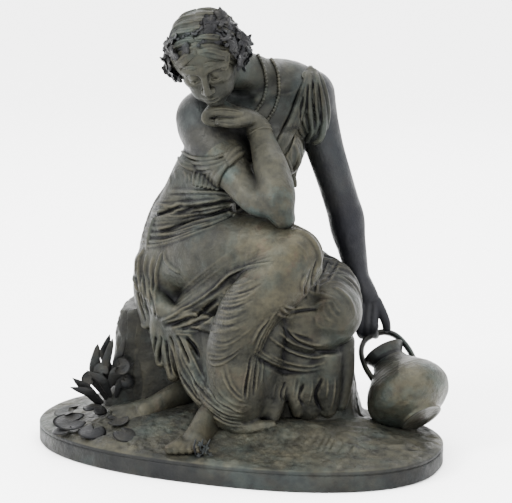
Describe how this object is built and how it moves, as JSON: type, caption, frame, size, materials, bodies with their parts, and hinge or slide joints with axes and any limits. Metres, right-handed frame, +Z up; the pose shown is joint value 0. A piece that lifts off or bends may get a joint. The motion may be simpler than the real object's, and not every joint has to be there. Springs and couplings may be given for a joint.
{
  "type": "bronze maiden figure",
  "caption": "Table bronze of a seated, draped maiden resting her chin on one hand and holding a water jug, on rock and an oval plinth; stands on its base.",
  "frame": {"origin": "middle of the plinth's underside", "axes": "+X along the plinth's length towards the jug, +Y away from the viewer, towards the figure's back, +Z up"},
  "size_m": [0.552, 0.3103, 0.5829],
  "materials": {
    "bronze": "dark olive-brown patina, satin, with rubbed golden-brown highlights and traces of green",
    "jug_bronze": "dark olive-brown patina, satin, a little greener on the shoulder"
  },
  "bodies": {
    "root": {"maiden": "bronze", "pitcher": "jug_bronze"}
  },
  "joints": []
}
